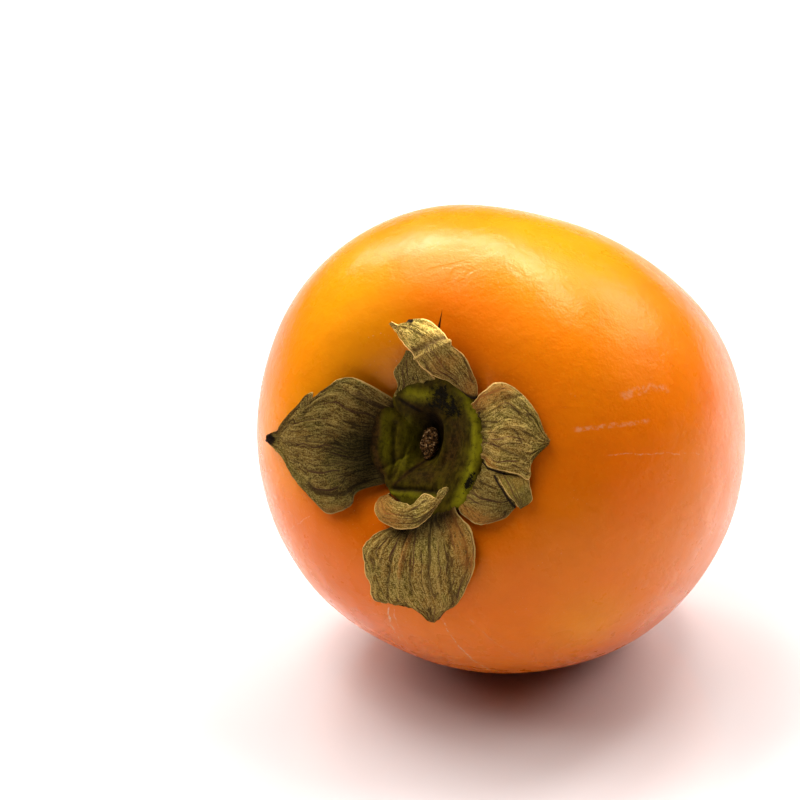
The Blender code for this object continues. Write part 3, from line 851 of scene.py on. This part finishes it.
def ragged(grid, u, v, seed):
    """Pull the margin in and out by uneven small amounts."""
    out = grid - np.mean(grid, axis=1, keepdims=True)
    reach = np.maximum(np.linalg.norm(out[..., :2], axis=-1, keepdims=True), 1e-6)
    spot = np.stack([grid[..., 0], grid[..., 1], 0.0 * u], axis=-1)
    weight = np.abs(v) ** 10 * fade(u, 0.02, 0.2)
    shift = (out / reach) * (noises(spot, MARGIN_NOISE, seed) * weight)[..., None]
    shift[..., 2] = 0.0
    return grid + shift


def strongest(lines, x, y):
    """The strongest of some soft lines at each point, or 0 where there are none."""
    value = 0.0 * x
    for start, end, half_width, strength in lines:
        value = np.maximum(value, strength * groove(x, y, start, end, half_width))
    return value


def sheet_tone_and_shade(name, x, y, u):
    """How bright a sheet is: its own tone, with a brighter tip and its painted shade."""
    tone_and_shade, tip_gain = SHEET_LOOKS[name][:2]
    tone_and_shade = tone_and_shade * (1.0 + (tip_gain - 1.0) * fade(u, 0.45, 0.75))
    # Painted shade: darken the sheet along each shade line.
    for start, end, half_width, strength in SHEET_SHADES.get(name, ()):
        tone_and_shade = tone_and_shade * (1.0 - strength * groove(x, y, start, end, half_width))
    return tone_and_shade


def sheet_relief(name, grid, points, u, v, length, width, seed):
    """Height to add over a sheet, and its colour masks."""
    x, y = grid[..., 0], grid[..., 1]
    pleats, root, crinkled = SHEET_LOOKS[name][2:]
    # The cords get a partly painted highlight, the creases painted shade.
    height, cord_and_highlight, crease_shade = veins(u, v, length, width, seed)
    height = (pleats * height + noises(points, SHEET_CRINKLES, seed)) * fade(u, 0.0, 0.12)
    height = height + noises(points, SHEET_WAVES, seed) * fade(u, 0.0, 0.3)
    edge = np.maximum(fade(np.abs(v), 0.86, 1.0), fade(u, 0.94, 1.0))
    height = height + noises(points, EDGE_WAVES, seed) * edge
    pale = 0.0 * u
    for start, end, half_width, rise in SHEET_FOLDS.get(name, ()):
        line = groove(x, y, start, end, half_width)
        height = height + rise * line
        # A raised fold gets a painted highlight along it, a sunk one painted shade in the crease
        # mask.
        pale = np.maximum(pale, line * fade(rise, 0.0, 0.4))
        crease_shade = np.maximum(crease_shade, line * fade(-rise, 0.0, 0.4))
    half = 0.5 * width
    return height, {
        "cord_and_highlight": cord_and_highlight,
        "crease_shade": crease_shade,
        "margin": fade(np.abs(v) * half, half - MARGIN_WIDTH, half),
        "root": 1.0 - fade(u, 0.0, root),
        "pale": pale,
        "rust": strongest(SHEET_RUST.get(name, ()), x, y),
        "stain_and_shadow": strongest(SHEET_STAINS_AND_SHADOWS.get(name, ()), x, y),
        "rough": np.full(u.shape, crinkled),
        "tone_and_shade": sheet_tone_and_shade(name, x, y, u),
    }


def sheet_faces(rows, columns):
    """Faces of a sheet's two sides and the strip round its edge."""
    count = rows * columns
    index = np.arange(count).reshape(rows, columns)
    faces = grid_faces(rows, columns)
    faces += [face[::-1] for face in grid_faces(rows, columns, first=count)]
    loop = np.concatenate([index[0, :-1], index[:-1, -1], index[-1, :0:-1], index[:0:-1, 0]])
    after = np.roll(loop, -1)
    return faces + np.stack([after, loop, loop + count, after + count], axis=1).tolist()


def over_skin(grid):
    """A sheet's points over the skin, and the outward normals there."""
    x, y, lift = np.moveaxis(grid, 2, 0)
    points = np.stack([x, y, skin_line(x, y)], axis=2) + SHEET_CLEARANCE * skin_normal(x, y)
    points[..., 2] += lift
    side = grid_normals(points)
    return points, side if np.sum(side[..., 2]) > 0.0 else -side


def make_sheet(name, ribs, node, material, seed):
    """One dried sheet: veined, pleated and wavy, closed over both sides and its edge."""
    grid, u, v = sheet_grid(ribs)
    grid = ragged(grid, u, v, seed)
    points, side = over_skin(grid)
    length = np.sum(np.linalg.norm(np.diff(points[:, SHEET_STEPS[1] // 2], axis=0), axis=1))
    widths = np.linalg.norm(points[:, :1] - points[:, -1:], axis=2)
    height, masks = sheet_relief(name, grid, points, u, v, length, widths.max(), seed)
    points = points + side * (height * fade(widths, 0.0, NARROW_SHEET))[..., None]
    half = side * (0.5 * SHEET_THICKNESS * (1.0 - 0.5 * masks["margin"]))[..., None]
    both = np.concatenate([points + half, points - half]).reshape(-1, 3)
    masks = {key: np.tile(value.ravel(), 2) for key, value in masks.items()}
    sheet_uv = np.stack([v * 0.5 * widths.max(), u * length], axis=-1).reshape(-1, 2)
    sheet_uv[:, 0] += 0.5 * noise(both[:u.size], 2.2, seed + 10)
    add_piece(name + "_sheet", both, sheet_faces(*u.shape), material, node, "sepal", masks,
              np.tile(sheet_uv, (2, 1)))


def make_sepals():
    """All the dried sepals; the right and the top one are made of more than one sheet."""
    material = sepal_material()
    for number, (name, ribs) in enumerate(SHEETS.items()):
        node = "_".join(name.split("_")[:2])
        make_sheet(name, ribs, node, material, 20 * number + 20)


# ---------------- scar and style tip

def make_scar():
    """The torn end of the stem: a rough fibrous boss in the hollow."""
    turn = full_turn(SCAR_SEGMENTS)
    spread = np.concatenate([[0.9, 1.0, 1.02], np.linspace(1.0, 0.05, SCAR_RINGS)])[:, None]
    x = SCAR_MIDDLE[0] + spread * SCAR_HALF_SIZE[0] * np.cos(turn)
    y = SCAR_MIDDLE[1] + spread * SCAR_HALF_SIZE[1] * np.sin(turn)
    share = np.concatenate([[0.0, 0.3, 0.7], np.ones(SCAR_RINGS)])[:, None]
    dome = np.sqrt(np.clip(1.0 - spread ** 4, 0.0, 1.0))
    rise = share * (SCAR_RISE[0] + SCAR_RISE[1] * dome) + 0.0 * x
    points = np.stack([x, y, skin_line(*SCAR_MIDDLE) - SCAR_SUNK + rise], axis=2)
    points[..., 2] += noises(points, SCAR_ROUGH) * share
    points[..., 0] += noises(points, SCAR_SWAY)
    add_piece("stem_scar_fibres", *capped(points), scar_material(), "stem_scar", "stem_scar")


def make_style_tip():
    """The dried style in the dip at the blossom end."""
    turn = full_turn(STYLE_SEGMENTS)
    steps = through(STYLE_RINGS, np.linspace(0.0, 1.0, STYLE_STEPS))
    radius = steps[:, :1] * (1.0 + 0.12 * np.cos(4.0 * turn))
    z = apex_height(0.0) - steps[:, 1:] + 0.0 * radius
    points = np.stack([radius * np.cos(turn), radius * np.sin(turn), z], axis=2)
    points = points + noises(points, STYLE_ROUGH)[..., None]
    add_piece("style_tip_dried", *capped(points), style_material(), "style_tip", "style_tip")


# ---------------- materials

def new_material(name):
    """An empty node material: its tree and its Principled shader."""
    material = bpy.data.materials.new(name)
    material.use_nodes = True
    return material, material.node_tree, material.node_tree.nodes["Principled BSDF"]


def feed(tree, socket, value):
    """Join a socket to another one, or set its constant."""
    if isinstance(value, bpy.types.NodeSocket):
        tree.links.new(value, socket)
    else:
        socket.default_value = value


def add_node(tree, kind, inputs, output=0, **settings):
    """Add a node with some inputs fed, and give one of its outputs."""
    node = tree.nodes.new("ShaderNode" + kind)
    for key, value in settings.items():
        setattr(node, key, value)
    for key, value in inputs.items():
        feed(tree, node.inputs[key], value)
    return node.outputs[output]


def calculate(tree, operation, *values):
    """A math node."""
    return add_node(tree, "Math", dict(enumerate(values)), operation=operation)


def combine(tree, operation, first, second, output="Vector"):
    """A vector math node of two vectors."""
    inputs = {0: first, 1: second}
    return add_node(tree, "VectorMath", inputs, output=output, operation=operation)


def scaled(tree, vector, factor):
    """A vector, or a colour, times a number."""
    return add_node(tree, "VectorMath", {0: vector, "Scale": factor}, operation="SCALE")


def times(tree, value, factor):
    """A product."""
    return calculate(tree, "MULTIPLY", value, factor)


def mix(tree, share, low, high):
    """Blend two colours by a share."""
    colours = {0: share, 6: rgba(low), 7: rgba(high)}
    return add_node(tree, "Mix", colours, output=2, data_type="RGBA")


def rgba(colour):
    """A colour with its alpha, if it is a plain tuple."""
    return (*colour, 1.0) if isinstance(colour, tuple) else colour


def cover(tree, colour, tint, share, most=1.0):
    """Lay a tint over a colour by a share, at most so much."""
    return mix(tree, times(tree, share, most), colour, tint)


def span(tree, value, low, high, least=0.0, most=1.0):
    """Map a range of a value smoothly onto another range."""
    inputs = {"Value": value, "From Min": low, "From Max": high, "To Min": least, "To Max": most}
    return add_node(tree, "MapRange", inputs, interpolation_type="SMOOTHSTEP")


def place_mm(tree):
    """Position in the calyx frame, in millimetres."""
    return add_node(tree, "Attribute", {}, output="Vector", attribute_name="place")


def cloud(tree, spot, size, detail, rough=0.5, stretch=None):
    """Noise of a given lump size in the position's own units."""
    if stretch is not None:
        spot = combine(tree, "MULTIPLY", spot, stretch)
    inputs = {"Vector": spot, "Scale": 1.0 / size, "Detail": detail, "Roughness": rough}
    return add_node(tree, "TexNoise", inputs)


def jitter(tree, spot, size, amount):
    """Positions moved about by noise, so that what is drawn there is uneven."""
    inputs = {"Vector": spot, "Scale": 1.0 / size}
    shift = add_node(tree, "TexNoise", inputs, output="Color")
    shift = scaled(tree, combine(tree, "SUBTRACT", shift, (0.5, 0.5, 0.5)), amount)
    return combine(tree, "ADD", spot, shift)


def bump(tree, height, distance_mm, strength, below=None):
    """A bump node whose height is in units of a distance."""
    inputs = {"Height": height, "Distance": distance_mm * MM, "Strength": strength}
    if below is not None:
        inputs["Normal"] = below
    return add_node(tree, "Bump", inputs)


def mark(tree, name):
    """A colour mask of the mesh."""
    return add_node(tree, "Attribute", {}, output="Fac", attribute_name=name)


def ragged_mark(tree, name, grain, amount, low, high):
    """A colour mask of the mesh with its edge broken up by a grain."""
    share = calculate(tree, "ADD", mark(tree, name), times(tree, grain, amount))
    return span(tree, share, low, high)


def set_surface(tree, shader, colour, roughness, specular, normal):
    """Feed a shader its colour, its gloss and its relief."""
    feed(tree, shader.inputs["Base Color"], colour)
    feed(tree, shader.inputs["Roughness"], roughness)
    feed(tree, shader.inputs["Specular IOR Level"], specular)
    feed(tree, shader.inputs["Normal"], normal)


def distance_to(tree, spot, point):
    """Distance to a point of the calyx frame."""
    return combine(tree, "DISTANCE", spot, tuple(point), "Value")


def near_point(tree, spot, middle, reach):
    """1 at a point of the calyx frame, fading to 0 at a reach."""
    return span(tree, distance_to(tree, spot, middle), reach, 0.0)


def off_line(tree, spot, points):
    """Distance from the plane through three points, which cuts the skin in a line."""
    a, b, c = (Vector(point) for point in points)
    across = (b - a).cross(c - a).normalized()
    along = combine(tree, "DOT_PRODUCT", spot, tuple(across), "Value")
    return calculate(tree, "ABSOLUTE", calculate(tree, "SUBTRACT", along, across.dot(a)))


def scratch_line(tree, spot, points, half_width):
    """1 along the line through three points of the skin, up to its ends."""
    line = span(tree, off_line(tree, spot, points), half_width, 0.3 * half_width)
    middle = (Vector(points[0]) + Vector(points[2])) / 2.0
    reach = 0.5 * (Vector(points[0]) - Vector(points[2])).length
    ends = span(tree, distance_to(tree, spot, middle), reach, 0.8 * reach)
    return times(tree, line, ends)


def crack_line(tree, spot, points, half_width):
    """1 along a line that widens from nothing at its first point to its last one."""
    length = (Vector(points[2]) - Vector(points[0])).length
    share = calculate(tree, "DIVIDE", distance_to(tree, spot, points[2]), length)
    width = times(tree, calculate(tree, "SUBTRACT", 1.0, share), half_width)
    inside = calculate(tree, "SUBTRACT", width, off_line(tree, spot, points))
    return span(tree, inside, -0.03, 0.05)


def skin_colour(tree, spot):
    """Orange, yellow in patches, with painted shade round the calyx, mottled and dotted with
    pores.
    """
    yellow = times(tree, span(tree, cloud(tree, spot, 30.0, 2.0), 0.35, 0.65), 0.22)
    for middle, reach, strength in YELLOW_PATCHES:
        patch = near_point(tree, spot, middle, reach)
        yellow = calculate(tree, "ADD", yellow, times(tree, patch, strength))
    yellow = calculate(tree, "MINIMUM", yellow, 1.0)
    colour = mix(tree, yellow, SKIN_ORANGE, SKIN_YELLOW)
    # Painted shade round the calyx.
    middle, reach, strength = CALYX_SHADE
    colour = cover(tree, colour, SKIN_SHADED, near_point(tree, spot, middle, reach), strength)
    mottle = span(tree, cloud(tree, spot, 4.0, 4.0, 0.6), 0.35, 0.7)
    colour = cover(tree, colour, SKIN_MOTTLE, mottle, 0.12)
    pores = add_node(tree, "TexVoronoi", {"Vector": spot, "Scale": 1.5}, output="Distance")
    return cover(tree, colour, SKIN_PORE, span(tree, pores, 0.28, 0.05), 0.10)


def skin_scuffs(tree, spot, uneven):
    """Where the skin is pale: broken scratches, and flecks in worn stretches."""
    pale = 0.0
    for points, half_width, solid in SCRATCHES:
        line = times(tree, scratch_line(tree, uneven, points, half_width), solid)
        pale = calculate(tree, "MAXIMUM", pale, line)
    breaks = span(tree, cloud(tree, spot, 0.9, 4.0, 0.8), 0.44, 0.58)
    flecks = span(tree, cloud(tree, spot, 0.45, 2.0, 0.6), 0.70, 0.74)
    worn = span(tree, cloud(tree, spot, 14.0, 2.0), 0.52, 0.62)
    flecks = times(tree, times(tree, flecks, worn), 0.5)
    return calculate(tree, "MAXIMUM", times(tree, pale, breaks), flecks)


def skin_blacks(tree, spot):
    """Where the skin is black: the crack, the specks and the painted shade under the small flap.
    """
    dark = crack_line(tree, jitter(tree, spot, 1.2, 0.25), CRACK, CRACK_HALF_WIDTH)
    for middle, reach in SPECKS_AND_PAINTED_SHADE:
        dark = calculate(tree, "MAXIMUM", dark, near_point(tree, spot, middle, reach))
    return dark


def skin_relief(tree, spot, uneven, dark):
    """Dimples of several sizes, the creases above the calyx and the open crack."""
    relief = None
    for size, depth, strength in SKIN_DIMPLES:
        relief = bump(tree, cloud(tree, spot, size, 2.0), depth, strength, relief)
    for points in CREASES:
        relief = bump(tree, scratch_line(tree, uneven, points, 0.25), -0.05, 0.8, relief)
    return bump(tree, dark, -0.2, 1.0, relief)


def skin_material():
    """Waxy orange skin: yellow patches, pores, scuffs and fine scratches."""
    material, tree, shader = new_material("persimmon_skin")
    spot = place_mm(tree)
    uneven = jitter(tree, spot, 1.6, 0.9)
    dark = skin_blacks(tree, spot)
    colour = cover(tree, skin_colour(tree, spot), SKIN_SCUFF, skin_scuffs(tree, spot, uneven))
    colour = cover(tree, colour, SKIN_BLACK, dark)
    bloom = span(tree, cloud(tree, spot, 9.0, 4.0, 0.6), 0.3, 0.7, 0.24, 0.33)
    set_surface(tree, shader, colour, bloom, 0.40, skin_relief(tree, spot, uneven, dark))
    for name, value in SKIN_SHADER.items():
        shader.inputs[name].default_value = value
    return material


def disc_material():
    """Fleshy olive disc: dark brown middle, bright rim, and specks of black mould."""
    material, tree, shader = new_material("calyx_disc_flesh")
    spot = place_mm(tree)
    fine = cloud(tree, spot, 0.9, 5.0, 0.75)
    streak = cloud(tree, spot, 0.8, 4.0, 0.6, (1.0, 0.3, 1.0))
    colour = mix(tree, span(tree, streak, 0.35, 0.65), *DISC_OLIVES)
    colour = cover(tree, colour, DISC_PAD, mark(tree, "pad"))
    colour = cover(tree, colour, DISC_RIM, mark(tree, "rim"))
    brown = mix(tree, span(tree, fine, 0.38, 0.66), *DISC_BROWNS)
    colour = cover(tree, colour, brown, mark(tree, "brown"))
    colour = cover(tree, colour, DISC_MOTTLE, span(tree, fine, 0.52, 0.34), 0.6)
    # Painted shade in the hollows and grooves.
    colour = cover(tree, colour, DISC_DEEP_SHADE, mark(tree, "deep_shade"), 0.9)
    specks = cloud(tree, spot, 0.8, 6.0, 0.85)
    black = calculate(tree, "ADD", specks, times(tree, mark(tree, "mould"), 0.32))
    black = span(tree, black, 0.70, 0.74)
    colour = cover(tree, colour, MOULD_BLACK, black)
    relief = bump(tree, streak, 0.25, 0.7)
    relief = bump(tree, cloud(tree, spot, 0.45, 3.0, 0.6), 0.15, 0.7, relief)
    set_surface(tree, shader, colour, 0.65, 0.06, bump(tree, black, 0.15, 0.8, relief))
    return material


def sepal_paper(tree, spot, streak, fine):
    """Olive brown, shaded and ochre in patches, under straw and dark crinkles."""
    green = span(tree, cloud(tree, spot, 6.0, 2.0), 0.42, 0.58)
    colour = mix(tree, green, *SEPAL_BROWNS)
    shade = span(tree, cloud(tree, spot, 2.6, 3.0, 0.6), 0.5, 0.38)
    colour = cover(tree, colour, SEPAL_SHADE, shade, 0.4)
    ochre = span(tree, cloud(tree, spot, 3.5, 3.0, 0.6), 0.52, 0.64)
    colour = cover(tree, colour, SEPAL_OCHRE, ochre, 0.45)
    layers = (  # what shows, where it is gone and where it is full, most of it, tint
        (streak, 0.50, 0.60, 0.80, SEPAL_STRAWS[0]),
        (streak, 0.48, 0.38, 0.75, SEPAL_DARKS[0]),
        (fine, 0.52, 0.62, 0.75, SEPAL_STRAWS[1]),
        (fine, 0.48, 0.36, 0.75, SEPAL_DARKS[1]),
        # Painted highlight on the cords and painted shade in the creases.
        (mark(tree, "cord_and_highlight"), 0.0, 1.0, 0.28, SEPAL_CORD_AND_HIGHLIGHT),
        (mark(tree, "crease_shade"), 0.0, 1.0, 0.85, SEPAL_CREASE_SHADE),
    )
    rough = mark(tree, "rough")
    for seen, gone, full, most, tint in layers:
        share = times(tree, span(tree, seen, gone, full), most)
        colour = cover(tree, colour, tint, share, rough)
    return colour


def sepal_marks(tree, spot, sheet, streak, fine, colour):
    """Lay over the paper its veins, rust, painted fold highlights, margin, painted shade, root,
    stains and shadows.
    """
    veined = span(tree, cloud(tree, sheet, 0.8, 2.0, 0.5, (1.0, 0.06, 1.0)), 0.60, 0.64)
    colour = cover(tree, colour, SEPAL_VEIN, veined, 0.75)
    rusty = times(tree, mark(tree, "rust"), span(tree, streak, 0.30, 0.55))
    colour = cover(tree, colour, SEPAL_RUST, rusty, 0.75)
    # Painted highlight along raised folds.
    pale = times(tree, mark(tree, "pale"), span(tree, fine, 0.40, 0.60))
    colour = cover(tree, colour, SEPAL_FOLD_HIGHLIGHT, pale, 0.6)
    broken = cloud(tree, spot, 2.0, 2.0, 0.6)
    margin = ragged_mark(tree, "margin", broken, 0.8, 0.75, 1.15)
    colour = cover(tree, colour, SEPAL_MARGIN, margin)
    # The sheet's tone, with its painted shade.
    colour = scaled(tree, colour, mark(tree, "tone_and_shade"))
    root = ragged_mark(tree, "root", fine, 0.5, 0.55, 1.15)
    colour = cover(tree, colour, SEPAL_ROOT, root)
    # Stains, and painted shadows under overlapping edges.
    return cover(tree, colour, SEPAL_STAIN_AND_SHADOW, ragged_mark(tree, "stain_and_shadow", fine, 0.8, 0.75, 1.10))


def sepal_material():
    """Dry papery sepal: straw crinkles over olive brown, with a pale rusty margin."""
    material, tree, shader = new_material("sepal_paper")
    sheet = add_node(tree, "UVMap", {}, uv_map="sheet")
    spot = place_mm(tree)
    streak = cloud(tree, sheet, 0.24, 3.0, 0.7, (1.0, 0.22, 1.0))
    fine = cloud(tree, spot, 0.22, 2.0, 0.7)
    colour = sepal_paper(tree, spot, streak, fine)
    colour = sepal_marks(tree, spot, sheet, streak, fine, colour)
    relief = bump(tree, fine, 0.22, 0.9, bump(tree, streak, 0.28, 0.9))
    set_surface(tree, shader, colour, 0.85, 0.1, relief)
    return material


def scar_material():
    """Torn brown wood fibre with pale broken ends, partly painted highlights."""
    material, tree, shader = new_material("stem_scar_fibre")
    spot = place_mm(tree)
    strands = cloud(tree, spot, 0.55, 4.0, 0.7)
    colour = mix(tree, span(tree, strands, 0.4, 0.60), *SCAR_BROWNS)
    # Pale fibre ends, partly painted highlights.
    bits = span(tree, cloud(tree, spot, 0.38, 2.0, 0.6), 0.56, 0.66)
    colour = cover(tree, colour, SCAR_PALE_AND_HIGHLIGHT, bits, 0.9)
    set_surface(tree, shader, colour, 0.85, 0.1, bump(tree, strands, 0.3, 0.8))
    return material


def style_material():
    """Dry dark stub."""
    material, tree, shader = new_material("style_tip_dry")
    grain = cloud(tree, place_mm(tree), 0.4, 4.0, 0.65)
    colour = mix(tree, span(tree, grain, 0.35, 0.65), *STYLE_BROWNS)
    set_surface(tree, shader, colour, 0.85, 0.5, bump(tree, grain, 0.2, 0.8))
    return material


def floor_material():
    """Pale glossy acrylic, which mirrors the fruit softly."""
    material, _, shader = new_material("white_acrylic")
    shader.inputs["Base Color"].default_value = FLOOR_COLOUR
    shader.inputs["Roughness"].default_value = 0.12
    shader.inputs["IOR"].default_value = 1.45
    return material


# ---------------- stage, light, camera

def outward(turn, rise):
    """Unit vector away from the fruit at a turn about Z and a rise, in degrees."""
    a, e = math.radians(turn), math.radians(rise)
    return Vector((math.sin(a) * math.cos(e), -math.cos(a) * math.cos(e), math.sin(e)))


def add_softbox(name, turn, rise, width, power, mirrored):
    """A rectangular area light that faces the fruit."""
    lamp = bpy.data.lights.new(name, "AREA")
    lamp.shape = "RECTANGLE"
    lamp.size, lamp.size_y = width, 0.8 * width
    lamp.energy = power
    item = bpy.data.objects.new(name, lamp)
    item.visible_glossy = mirrored
    bpy.context.scene.collection.objects.link(item)
    away = outward(turn, rise)
    item.location = away * SOFTBOX_DISTANCE + SOFTBOX_AIM
    item.rotation_euler = (-away).to_track_quat("-Z", "Y").to_euler()


def add_floor():
    """The pale floor under the fruit."""
    size = FLOOR_HALF_SIZE
    corners = [(-size, -size, 0.0), (size, -size, 0.0), (size, size, 0.0), (-size, size, 0.0)]
    mesh = bpy.data.meshes.new("floor")
    mesh.from_pydata(corners, [], [(0, 1, 2, 3)])
    mesh.materials.append(floor_material())
    floor = bpy.data.objects.new("floor", mesh)
    bpy.context.scene.collection.objects.link(floor)


def add_world():
    """A room that lights the fruit dimly and looks white to the camera."""
    world = bpy.data.worlds.new("studio")
    bpy.context.scene.world = world
    world.use_nodes = True
    tree = world.node_tree
    seen = add_node(tree, "LightPath", {}, output="Is Camera Ray")
    background = tree.nodes["Background"]
    background.inputs["Color"].default_value = (1.0, 1.0, 1.0, 1.0)
    feed(tree, background.inputs["Strength"], span(tree, seen, 0.0, 1.0, WORLD_LIGHT, 1.0))


def make_camera():
    """The camera, turned and raised as the view that the part is shown from."""
    back = outward(CAMERA_TURN, CAMERA_RISE)
    turn = math.radians(CAMERA_TURN)
    right = Vector((math.cos(turn), math.sin(turn), 0.0))
    up = back.cross(right)
    camera = bpy.data.objects.new("camera", bpy.data.cameras.new("camera"))
    bpy.context.scene.collection.objects.link(camera)
    sideways, upward = CAMERA_SIDESTEP
    offset = back * CAMERA_DISTANCE + right * sideways + up * upward
    camera.location = CALYX_FRAME.translation + offset * MM
    camera.rotation_euler = Matrix((right, up, back)).transposed().to_euler()
    camera.data.lens = CAMERA_LENS
    camera.data.sensor_width = CAMERA_SENSOR
    camera.data.clip_end = CAMERA_FARTHEST
    bpy.context.scene.camera = camera
    bpy.context.scene.view_settings.view_transform = "Standard"


def main():
    """Build the camera, every piece, then the floor, the lamps and the room."""
    make_camera()
    make_fruit()
    make_disc()
    make_sepals()
    make_scar()
    make_style_tip()
    add_floor()
    for softbox in SOFTBOXES:
        add_softbox(*softbox)
    add_world()


main()
